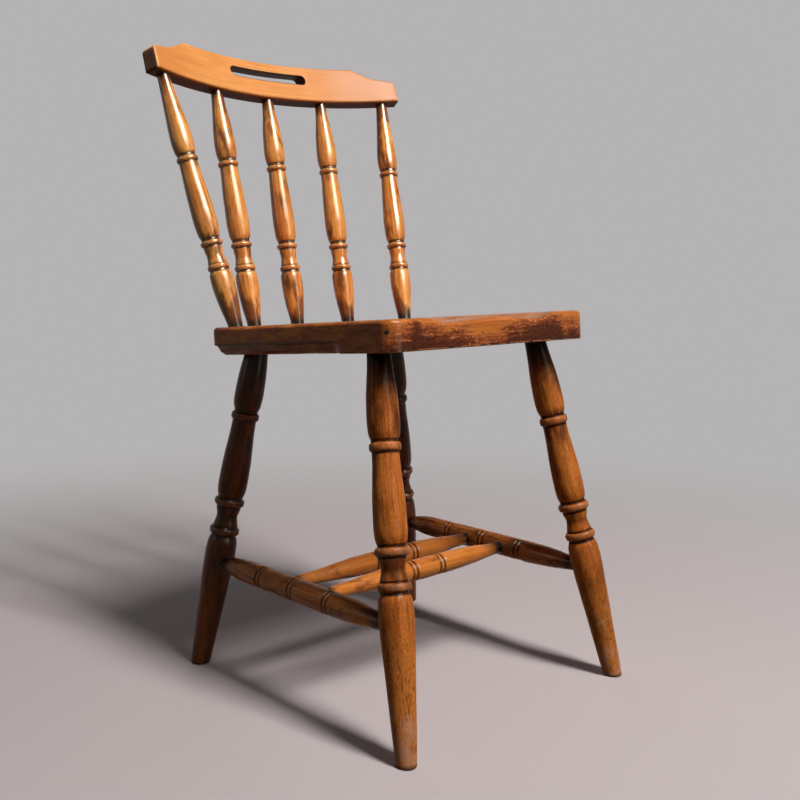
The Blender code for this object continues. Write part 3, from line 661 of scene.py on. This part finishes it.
def crest_rail(finish):
    """The board as one closed ring round its slot: out over the front face, round the
    outer edge, in over the back face and through the slot. The faces are ruled with
    straight lines between the two outlines."""
    slot, board = crest_outlines()
    thin, slot_thin = crest_thickness(board[:, 1]), crest_thickness(slot[:, 1])
    rings = []

    def add(points, behind):
        rings.append(np.column_stack((points, np.broadcast_to(behind, len(points)))))

    def fill(inner, outer, behind_inner, behind_outer, steps):
        """Points between two outlines."""
        for share in steps:
            behind = behind_inner + (behind_outer - behind_inner) * share
            add(inner + (outer - inner) * share, behind)

    def slot_at(behind, grown):
        """Slot outline at a distance behind the face: it drifts up the face, because the
        slot falls less than the board leans, and in, because it is cut straight."""
        wide = inset(slot, -grown)
        up = wide[:, 1] + SLOT_RISE * behind
        across = wide[:, 0] * (1.0 - cos(CREST_LEAN) * behind / CREST_RADIUS)
        return np.column_stack((across, up))

    def rim_at(distance):
        """Board outline moved in, its lower corners kept square."""
        moved, limit = inset(board, distance), CREST_HALF - distance
        across = np.clip(moved[:, 0], -limit, limit)
        return np.column_stack((across, np.maximum(moved[:, 1], distance)))

    turns = np.linspace(0.0, 0.5 * pi, 6)
    shares = np.linspace(0.0, 1.0, 32)
    front_inner = slot_at(0.0, SLOT_ROUND)
    back_inner = slot_at(slot_thin, SLOT_ROUND)
    rim = rim_at(CREST_ROUND)
    fill(front_inner, rim, 0.0, 0.0, shares)
    for turn in turns[1:]:
        add(rim_at(CREST_ROUND * (1.0 - sin(turn))), CREST_ROUND * (1.0 - cos(turn)))
    for share in (0.25, 0.5, 0.75):
        add(board, CREST_ROUND + (thin - 2.0 * CREST_ROUND) * share)
    for turn in turns[:-1]:
        add(rim_at(CREST_ROUND * (1.0 - cos(turn))), thin - CREST_ROUND * (1.0 - sin(turn)))
    fill(back_inner, rim, slot_thin, thin, shares[::-1])
    # The slot's painted shade starts on the last two rings of the back face.
    first_slot_ring = len(rings) - 2
    for turn in turns[1:]:
        behind = slot_thin - SLOT_ROUND * (1.0 - cos(turn))
        add(slot_at(behind, SLOT_ROUND * (1.0 - sin(turn))), behind)
    for share in (0.75, 0.5, 0.25):
        behind = SLOT_ROUND + (slot_thin - 2.0 * SLOT_ROUND) * share
        add(slot_at(behind, 0.0), behind)
    for turn in turns[:-1]:
        behind = SLOT_ROUND * (1.0 - sin(turn))
        add(slot_at(behind, SLOT_ROUND * (1.0 - cos(turn))), behind)
    rings = np.array(rings)
    across, up, behind = rings[:, :, 0], rings[:, :, 1], rings[:, :, 2]
    grid = crest_place(across, up, behind)
    in_slot = (np.arange(len(rings)) >= first_slot_ring).astype(float)
    grain = np.stack((up + 0.3, behind + 0.7, across), axis=-1)
    from_end = CREST_HALF - np.abs(across)
    marks = {"grain": grain,
             "slot": np.broadcast_to(in_slot[:, None], across.shape),
             "end": ease(1.0 - from_end / END_THIN) * ease((behind - DARK_START) / DARK_FADE),
             "under": ease(1.0 - up / FACE_DEEP) * ease((behind - DARK_START) / FACE_DEEP),
             "arris": np.exp(-(from_end / ARRIS_WIDE) ** 2) * ease(1.0 - behind / FACE_DEEP),
             "back": ease((behind - BACK_START) / FACE_DEEP)}
    piece = skin("crest_board", grid, finish, marks, looped=True)
    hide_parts("crest_rail")
    return piece


# Finishes. A finish is a tree of shader nodes, and these helpers add one node each.

class Nodes:
    """A tree of shader nodes under construction."""

    def __init__(self, tree):
        self.tree = tree

    def put(self, socket, value):
        """Links a node's output to a socket, or sets a plain value on it."""
        if isinstance(value, bpy.types.NodeSocket):
            self.tree.links.new(value, socket)
        else:
            socket.default_value = value

    def add(self, kind, inputs, **settings):
        """A node, with its inputs by name or number."""
        node = self.tree.nodes.new(kind)
        for key, value in settings.items():
            setattr(node, key, value)
        for key, value in inputs.items():
            self.put(node.inputs[key], value)
        return node

    def between(self, value, low, high, to=(0.0, 1.0)):
        """A value eased from `low` and `high` to the range `to`."""
        inputs = {"Value": value, "From Min": low, "From Max": high, "To Min": to[0], "To Max": to[1]}
        return self.add("ShaderNodeMapRange", inputs, interpolation_type="SMOOTHSTEP").outputs[0]

    def math(self, operation, first, second):
        return self.add("ShaderNodeMath", {0: first, 1: second}, operation=operation).outputs[0]

    def plus(self, first, second):
        return self.math("ADD", first, second)

    def times(self, first, second):
        return self.math("MULTIPLY", first, second)

    def seen(self):
        """1 where the camera looks, straight, in a mirror or through glass, else 0."""
        path = self.add("ShaderNodeLightPath", {}).outputs
        seen = self.math("MAXIMUM", path["Is Camera Ray"], path["Is Glossy Ray"])
        return self.math("MAXIMUM", seen, path["Is Transmission Ray"])


class Finish(Nodes):
    """A material under construction: its node tree and what most finishes need."""

    def __init__(self, name):
        self.material = bpy.data.materials.new(name)
        self.material.use_nodes = True
        super().__init__(self.material.node_tree)
        self.shader = self.tree.nodes["Principled BSDF"]

    def mark(self, name, output="Fac"):
        """A value stored on the mesh's points."""
        return self.add("ShaderNodeAttribute", {}, attribute_name=name).outputs[output]

    def place(self):
        """The grain's own coordinates in metres, one by one."""
        return self.add("ShaderNodeSeparateXYZ", {0: self.mark("grain", "Vector")}).outputs

    def noise(self, scale, detail=4.0, roughness=0.55):
        """Noise on the grain's own coordinates, scaled; the third runs along the grain."""
        inputs = {"Vector": self.mark("grain", "Vector"), "Scale": scale}
        inputs = {"Vector": self.add("ShaderNodeMapping", inputs).outputs[0],
                  "Scale": 1.0, "Detail": detail, "Roughness": roughness}
        return self.add("ShaderNodeTexNoise", inputs).outputs["Fac"]

    def mix(self, share, under, over):
        """One colour over another, by a share."""
        node = self.add("ShaderNodeMix", {}, data_type="RGBA")
        for socket, value in zip((0, 6, 7), (share, under, over)):
            self.put(node.inputs[socket], value)
        return node.outputs[2]

    def bump(self, height, depth, under=None):
        """Relief of a depth in metres, on top of the relief that is under it."""
        inputs = {"Height": height, "Distance": depth, "Strength": 1.0}
        if under is not None:
            inputs["Normal"] = under
        return self.add("ShaderNodeBump", inputs).outputs[0]

    def done(self, colour, roughness, normal, specular):
        """The finished varnish: its colour, gloss and relief on the shader."""
        for socket, value in {"Base Color": colour, "Roughness": roughness, "Normal": normal,
                              "Coat Weight": COAT_WEIGHT, "Coat Roughness": COAT_ROUGHNESS,
                              "Specular IOR Level": specular, "Specular Tint": VARNISH_TINT}.items():
            self.put(self.shader.inputs[socket], value)
        return self.material


def rgb(red, green, blue):
    """A colour written as it looks on screen, 0 to 255, turned to linear light."""
    values = np.array((red, green, blue)) / 255.0
    linear = np.where(values <= 0.04045, values / 12.92, ((values + 0.055) / 1.055) ** 2.4)
    return (*linear.tolist(), 1.0)


# Near-black brown for grime, and for painted shade in the hollows of turnings and under the seat.
GRIME_AND_SHADE = rgb(26, 10, 4)
VARNISH_TINT = (1.0, 0.80, 0.58, 1.0)
COAT_WEIGHT = 0.05
COAT_ROUGHNESS = 0.15
LEG_PATCH = (40.0, 40.0, 14.0)
THIN_PATCH = (64.0, 64.0, 24.0)


def wood_grain(finish, pale, deep):
    """Long streaks over soft clouds, with fine dark pores. Gives the colour, the streaks
    and the clouds."""
    streaks = finish.noise((340.0, 340.0, 11.0), detail=6.0, roughness=0.62)
    clouds = finish.noise((34.0, 34.0, 12.0), detail=4.0, roughness=0.6)
    fine = finish.noise((620.0, 620.0, 240.0), detail=3.0, roughness=0.6)
    tone = finish.plus(finish.times(streaks, 0.55), finish.times(clouds, 0.45))
    colour = finish.mix(finish.between(tone, 0.36, 0.62), deep, pale)
    pores = finish.between(fine, 0.56, 0.74, (0.0, 0.35))
    return finish.mix(pores, colour, deep), streaks, clouds


def soiled_and_shaded(finish, colour, rubbed):
    """Rubbed crowns on the beads, and darkening in the hollows of a turning and round its
    ends, broken up by noise: grime and painted shade in the hollows, grime at the joints,
    and at a leg's top painted shadow of the seat."""
    patch = finish.noise((150.0, 150.0, 70.0), detail=5.0, roughness=0.65)
    relief = finish.mark("hollow")
    crowns = finish.times(finish.between(relief, -0.25, -0.85), finish.between(patch, 0.25, 0.6))
    colour = finish.mix(finish.times(crowns, rubbed), colour, rgb(196, 136, 96))
    # Hollows are darkened by how deep they lie: grime, and painted shade in the recesses.
    hollows = finish.between(relief, 0.10, 0.62)
    ends = finish.mark("grime_and_shade")
    ragged = finish.plus(ends, finish.times(patch, 0.65))
    ends = finish.between(ragged, 0.46, 1.16)
    dirt_and_shade = finish.math("MAXIMUM", finish.times(hollows, 0.88), ends)
    return finish.mix(dirt_and_shade, colour, GRIME_AND_SHADE)


def worn_feet_and_floor_light(finish, colour, gloss, dust_and_floor_light):
    """A golden tone towards the floor, from thinner varnish and painted light bounced off
    the floor, short dark dashes along the grain, pale dusty rubs near the floor and a dark sole.
    """
    low = finish.mark("scuff")
    dashes = finish.noise((430.0, 430.0, 95.0), detail=3.0, roughness=0.6)
    dashes = finish.between(dashes, 0.57, 0.66, (0.0, 0.75))
    # Golden towards the floor: thinner varnish, and painted light bounced off the floor.
    colour = finish.mix(finish.between(low, 0.0, 0.5, (0.0, 0.8 * dust_and_floor_light)), colour, rgb(226, 138, 60))
    colour = finish.mix(finish.times(dashes, finish.between(low, 0.0, 0.35, (0.25, 1.0))),
                        colour, rgb(84, 40, 16))
    freckles = finish.noise((560.0, 560.0, 300.0), detail=4.0, roughness=0.7)
    colour = finish.mix(finish.between(freckles, 0.47, 0.64, (0.0, 0.5)), colour, rgb(112, 54, 22))
    rubs = finish.noise((55.0, 55.0, 38.0), detail=7.0, roughness=0.72)
    rubs = finish.plus(rubs, finish.times(low, 0.42))
    rubs = finish.between(rubs, 0.78, 0.98, (0.0, dust_and_floor_light))
    colour = finish.mix(rubs, colour, rgb(204, 154, 122))
    colour = finish.mix(finish.between(low, 0.975, 0.992, (0.0, 0.8)), colour, GRIME_AND_SHADE)
    return colour, finish.plus(gloss, finish.times(rubs, 0.4))


def varnished(name, pale, deep, stain, stained, specular, patch=THIN_PATCH, end_stain_and_shade=0.15,
              roughness=0.28, dust_and_floor_light=0.0, rubbed=0.55):
    """Old glossy varnish on a turning. `stained` says from which noise level dark stain
    starts and is full, and how strong it is; `patch` is how fine its patches are. The end
    stain setting says how much stain gathers towards the ends, where at a leg's top it also
    deepens the painted shadow of the seat; the foot setting how rubbed a leg's foot is and
    how much painted floor light turns it golden; and `rubbed` how pale the crowns of the
    beads are."""
    finish = Finish(name)
    colour, streaks, clouds = wood_grain(finish, pale, deep)
    patches = finish.noise(patch, detail=6.0, roughness=0.58)
    # Stain gathers towards the ends; at a leg's top it also deepens the painted shadow of the seat.
    near_ends = finish.math("POWER", finish.mark("grime_and_shade"), 0.4)
    patches = finish.plus(patches, finish.times(near_ends, end_stain_and_shade))
    low, high, strength = stained
    colour = finish.mix(finish.between(patches, low, high, (0.0, strength)), colour, stain)
    gloss = finish.between(clouds, 0.3, 0.7, (roughness - 0.04, roughness + 0.08))
    if dust_and_floor_light:
        colour, gloss = worn_feet_and_floor_light(finish, colour, gloss, dust_and_floor_light)
    colour = soiled_and_shaded(finish, colour, rubbed)
    normal = finish.bump(streaks, 0.0001)
    normal = finish.bump(clouds, 0.0005, normal)
    return finish.done(colour, gloss, normal, specular)


def front_edge(finish, streaks):
    """Seat's front edge: bare orange wood above, and below it reddish varnish that holds
    on in streaks and crumbs, where `hold` is above 0, black where it is thickest. Gives
    the colour, and how much varnish there is."""
    left = finish.mark("varnish")
    crumbs = finish.noise((380.0, 380.0, 190.0), detail=5.0, roughness=0.72)
    streaky = finish.noise((210.0, 210.0, 34.0), detail=6.0, roughness=0.7)
    broken = finish.plus(finish.times(crumbs, 3.0), finish.times(streaky, 1.7))
    hold = finish.plus(left, finish.math("SUBTRACT", broken, 2.3))
    bare = finish.mix(finish.between(streaks, 0.36, 0.64), rgb(174, 90, 30), rgb(212, 126, 50))
    rusty = finish.mix(finish.between(crumbs, 0.44, 0.60), rgb(88, 34, 14), rgb(164, 78, 30))
    colour = finish.mix(finish.between(hold, -0.16, 0.02, (0.0, 0.6)), bare, rgb(196, 104, 40))
    colour = finish.mix(finish.between(hold, -0.02, 0.12), colour, rusty)
    thick = finish.plus(hold, finish.times(crumbs, -1.6))
    colour = finish.mix(finish.between(thick, -0.62, -0.22, (0.0, 0.8)), colour, rgb(58, 22, 10))
    return colour, finish.between(hold, -0.05, 0.15)


def seat_side(finish, up, place):
    """Seat's sides and back: dark stain in fine mottles and level streaks, a moulding
    darkened with painted shade under the edge, a black line of painted shade above it, and
    a paler, rubbed stretch next to the front."""
    mottle = finish.noise((34.0, 150.0, 60.0), detail=7.0, roughness=0.7)
    side = finish.mix(finish.between(mottle, 0.38, 0.66), rgb(176, 80, 18), rgb(255, 160, 60))
    dim = finish.noise((22.0, 60.0, 30.0), detail=3.0)
    side = finish.mix(finish.between(dim, 0.45, 0.62, (0.0, 0.7)), side, rgb(146, 60, 12))
    # The moulding under the seat's edge is darkened: painted shade.
    side = finish.mix(finish.times(finish.mark("moulding"), 0.55), side, rgb(88, 50, 28))
    # The black line just under the shoulder above the moulding is painted shade.
    below, above = (finish.between(up, *shares) for shares in QUIRK_SHARES)
    quirk = finish.times(below, above)
    quirk = finish.times(quirk, finish.between(place["X"], UNDERCUT_START, UNDERCUT_END))
    side = finish.mix(finish.times(quirk, 0.8), side, rgb(36, 16, 8))
    rubbed = finish.mix(finish.between(mottle, 0.4, 0.62), rgb(134, 64, 24), rgb(198, 112, 50))
    return finish.mix(finish.between(place["X"], *CORNER_REACH, (0.0, 0.9)), side, rubbed)


def knot_hole(finish, place):
    """1 inside the knot hole in the seat's side and 0 outside its ragged rim."""
    on_side = finish.add("ShaderNodeCombineXYZ", {"X": place["X"], "Y": place["Y"]}).outputs[0]
    away = finish.add("ShaderNodeVectorMath", {0: on_side, 1: (*KNOT_HOLE, 0.0)}, operation="DISTANCE")
    ragged = finish.times(finish.noise((400.0, 400.0, 400.0)), KNOT_RAGGED)
    hole = finish.between(finish.plus(away.outputs["Value"], ragged), *KNOT_RIM)
    return finish.times(hole, finish.between(place["Z"], *KNOT_SIDE))


def seat_finish():
    """Seat: glazed honey top, dark mottled sides over a moulding darkened with painted shade,
    a worn front corner with a small knot hole painted near-black as shade, the crumbling
    varnish of the front edge, and a pale lower arris that is worn bare wood and painted highlight."""
    finish = Finish("worn seat varnish")
    colour, streaks, _ = wood_grain(finish, rgb(216, 141, 86), rgb(164, 96, 52))
    up, front, place = finish.mark("up"), finish.mark("front"), finish.place()
    colour = finish.mix(finish.between(up, *RIM_SHARES, (0.55, 0.0)), colour, rgb(120, 62, 30))
    on_side = finish.math("SUBTRACT", finish.between(up, *SIDE_SHARES), front)
    colour = finish.mix(on_side, colour, seat_side(finish, up, place))
    edge, varnish = front_edge(finish, streaks)
    colour = finish.mix(finish.times(front, finish.between(up, *FRONT_SHARES)), colour, edge)
    pit = knot_hole(finish, place)
    # The knot hole is painted near-black: painted shade inside the hole.
    colour = finish.mix(pit, colour, rgb(14, 7, 5))
    # A pale line along the front's lower arris: partly worn bare wood, partly painted highlight.
    low_line = finish.times(finish.between(up, *LOW_LINE_SHARES), front)
    colour = finish.mix(finish.times(low_line, 0.7), colour, rgb(226, 150, 88))
    normal = finish.bump(streaks, 0.00012)
    normal = finish.bump(varnish, 0.00012, normal)
    normal = finish.bump(finish.between(pit, 1.0, 0.0), 0.0006, normal)
    gloss = finish.between(finish.times(varnish, front), 0.0, 1.0, (0.38, 0.30))
    return finish.done(colour, gloss, normal, specular=0.15)


def crest_finish():
    """Crest rail: even honey varnish on the face, a browner back, near-black brown on the
    dark end grain and, as painted shade, below and in the slot, and a pale rubbed line at
    each end of the face."""
    finish = Finish("honey crest varnish")
    colour, streaks, clouds = wood_grain(finish, rgb(240, 164, 92), rgb(222, 140, 70))
    across = finish.place()["Z"]
    colour = finish.mix(finish.between(across, 0.03, 0.16, (0.0, 0.85)), colour, rgb(204, 128, 74))
    colour = finish.mix(finish.between(across, -0.10, -0.19, (0.0, 0.6)), colour, rgb(218, 136, 66))
    dark = finish.mix(finish.between(clouds, 0.35, 0.65), rgb(66, 32, 14), rgb(98, 50, 22))
    colour = finish.mix(finish.times(finish.mark("back"), 0.45), colour, rgb(150, 80, 36))
    # Painted shade: the underside and the inside of the slot go near-black brown, as does the dark end
    # grain.
    shade = finish.math("MAXIMUM", finish.mark("slot"), finish.mark("under"))
    shade = finish.math("MAXIMUM", shade, finish.mark("end"))
    colour = finish.mix(shade, colour, dark)
    colour = finish.mix(finish.times(finish.mark("arris"), 0.55), colour, rgb(252, 206, 150))
    normal = finish.bump(streaks, 0.00004)
    gloss = finish.between(clouds, 0.3, 0.7, (0.46, 0.54))
    return finish.done(colour, gloss, normal, specular=0.125)


# Studio.

def studio():
    """Pale floor that fades into a pale surround, a tall window lamp high in front of the
    chair, three gleams that only show in its gloss, and a light from behind that doesn't."""
    half = FLOOR_HALF
    floor_mesh = bpy.data.meshes.new("studio_floor")
    corners = [(-half, -half, 0.0), (half, -half, 0.0), (half, half, 0.0), (-half, half, 0.0)]
    floor_mesh.from_pydata(corners, [], [(0, 1, 2, 3)])
    floor_mesh.materials.append(floor_finish())
    floor = bpy.data.objects.new("studio_floor", floor_mesh)
    bpy.context.collection.objects.link(floor)
    surround()
    lamp("window", WINDOW_PLACE, 0.40, (0.50, 1.3), 88.0, WINDOW_COLOUR)
    lamp("window gleam", GLEAM_PLACE, 0.40, (1.6, 1.4), 300.0, GLEAM_COLOUR, diffuse=False)
    lamp("low gleam", LOW_GLEAM_PLACE, 0.45, (0.7, 1.3), 23.0, GLEAM_COLOUR, diffuse=False)
    lamp("rear gleam", REAR_GLEAM_PLACE, 0.50, (0.15, 1.4), 5.0, REAR_GLEAM_COLOUR, diffuse=False)
    lamp("back light", BACK_LIGHT_PLACE, 0.45, (1.6, 1.0), 20.0, BACK_LIGHT_COLOUR, glossy=False)


def floor_finish():
    """Matt pale floor, dark as a source of bounced light, and clear towards its rim so
    that it melts into the surround."""
    finish = Finish("pale studio floor")
    place = finish.add("ShaderNodeTexCoord", {}).outputs["Object"]
    away = finish.add("ShaderNodeVectorMath", {0: place}, operation="LENGTH").outputs["Value"]
    pale = finish.mix(finish.between(away, *FLOOR_BLEND), FLOOR_COLOUR, FLOOR_FAR_COLOUR)
    shader = finish.shader.inputs
    finish.put(shader["Base Color"], finish.mix(finish.seen(), FLOOR_BOUNCE, pale))
    finish.put(shader["Roughness"], FLOOR_ROUGHNESS)
    finish.put(shader["Specular IOR Level"], 0.0)
    finish.put(shader["Alpha"], finish.between(away, *FLOOR_FADE, (1.0, 0.0)))
    return finish.material


def surround():
    """World light: soft and low for the object, pale where it is seen or mirrored, and
    darker overhead."""
    world = bpy.data.worlds.new("studio")
    bpy.context.scene.world = world
    world.use_nodes = True
    nodes = Nodes(world.node_tree)
    way = nodes.add("ShaderNodeTexCoord", {}).outputs["Generated"]
    height = nodes.add("ShaderNodeSeparateXYZ", {0: way}).outputs["Z"]
    pale = nodes.between(height, *OVERHEAD_START, (SEEN_LIGHT, OVERHEAD_LIGHT))
    background = nodes.tree.nodes["Background"].inputs
    nodes.put(background["Color"], SURROUND_COLOUR)
    nodes.put(background["Strength"], nodes.between(nodes.seen(), 0.0, 1.0, (SOFT_LIGHT, pale)))


def lamp(name, place, aim, size, watts, colour, diffuse=True, glossy=True):
    """A soft rectangular lamp aimed at a height above the floor's middle. It may be a
    gleam, which only shows in gloss, or a light that never shows in gloss."""
    light = bpy.data.lights.new(name, "AREA")
    light.shape = "RECTANGLE"
    light.size, light.size_y = size
    light.energy = watts
    light.color = colour
    lit = bpy.data.objects.new(name, light)
    lit.visible_diffuse = diffuse
    lit.visible_glossy = glossy
    way = Vector((0.0, 0.0, aim)) - Vector(place)
    lit.matrix_world = Matrix.Translation(place) @ way.to_track_quat("-Z", "Y").to_matrix().to_4x4()
    bpy.context.collection.objects.link(lit)


def camera():
    """The photograph's viewpoint."""
    lens = bpy.data.cameras.new("camera")
    lens.lens = CAMERA_LENS
    lens.sensor_width = CAMERA_SENSOR
    lens.shift_x, lens.shift_y = CAMERA_SHIFT
    lens.clip_start = CAMERA_CLIP
    eye = bpy.data.objects.new("camera", lens)
    turn = (Matrix.Rotation(CAMERA_YAW, 4, "Z") @ Matrix.Rotation(0.5 * pi + CAMERA_PITCH, 4, "X")
            @ Matrix.Rotation(CAMERA_ROLL, 4, "Z"))
    eye.matrix_world = Matrix.Translation(CAMERA_PLACE) @ turn
    bpy.context.collection.objects.link(eye)
    bpy.context.scene.camera = eye


# The chair.

def legs():
    """Front legs, rubbed and dusty near the floor and golden there with painted floor light,
    and darker rear ones, cut shorter. All darken at the top with painted shadow of the seat.
    """
    front = varnished("front leg varnish", rgb(228, 136, 58), rgb(168, 86, 32), rgb(70, 30, 12),
                      stained=(0.50, 0.68, 0.85), patch=LEG_PATCH, end_stain_and_shade=0.06,
                      roughness=0.34, dust_and_floor_light=0.70, specular=0.035)
    rear = varnished("dark rear leg varnish", rgb(140, 68, 26), rgb(80, 36, 13), rgb(36, 14, 6),
                     stained=(0.48, 0.64, 0.85), patch=LEG_PATCH, end_stain_and_shade=0.10,
                     roughness=0.30, dust_and_floor_light=0.08, specular=0.14)
    for end, trim, finish in (("front", 0.0, front), ("rear", LEG_REAR_TRIM, rear)):
        for side in ("left", "right"):
            turned(f"turned_leg_{end}_{side}", f"leg_{end}_{side}", (0.0, 0.0, 1.0),
                   leg_outline(trim), finish, (NO_GRIME, LEG_TOP_SHADOW_AND_GRIME), LEG_SIDES)


def stretchers():
    """Two russet side stretchers, and two orange ones across between them."""
    russet = varnished("russet stretcher varnish", rgb(236, 146, 68), rgb(166, 86, 36),
                       rgb(66, 28, 12), stained=(0.53, 0.68, 0.72), rubbed=0.1, specular=0.15)
    orange = varnished("orange stretcher varnish", rgb(240, 148, 66), rgb(210, 118, 46),
                       rgb(140, 66, 24), stained=(0.58, 0.68, 0.7), rubbed=0.1, specular=0.16)
    for side in ("left", "right"):
        turned(f"turned_stretcher_{side}", f"stretcher_{side}", (0.0, -1.0, 0.0),
               stretcher_outline(SIDE_KNOTS, SIDE_RINGS), russet,
               (SIDE_GRIME, SIDE_GRIME), THIN_SIDES)
    for end, rings in (("front", CROSS_FRONT_RINGS), ("rear", CROSS_REAR_RINGS)):
        turned(f"turned_cross_{end}", f"stretcher_cross_{end}", (1.0, 0.0, 0.0),
               stretcher_outline(CROSS_KNOTS, rings), orange,
               (CROSS_GRIME, CROSS_GRIME), THIN_SIDES)


def spindles():
    """Glossy amber spindles with dark ends, from the sitter's right."""
    amber = varnished("amber spindle varnish", rgb(248, 172, 86), rgb(196, 108, 42), rgb(90, 36, 12),
                      stained=(0.54, 0.68, 0.82), patch=(64.0, 64.0, 20.0), end_stain_and_shade=0.36,
                      roughness=0.23, specular=0.42)
    for number in range(1, SPINDLES + 1):
        turned(f"turned_spindle_{number}", f"spindle_{number}", (0.0, 0.0, 1.0),
               spindle_outline, amber, SPINDLE_GRIME, THIN_SIDES)


def main():
    bpy.context.scene.view_settings.view_transform = "Standard"
    camera()
    studio()
    seat(seat_finish())
    crest_rail(crest_finish())
    legs()
    stretchers()
    spindles()


main()
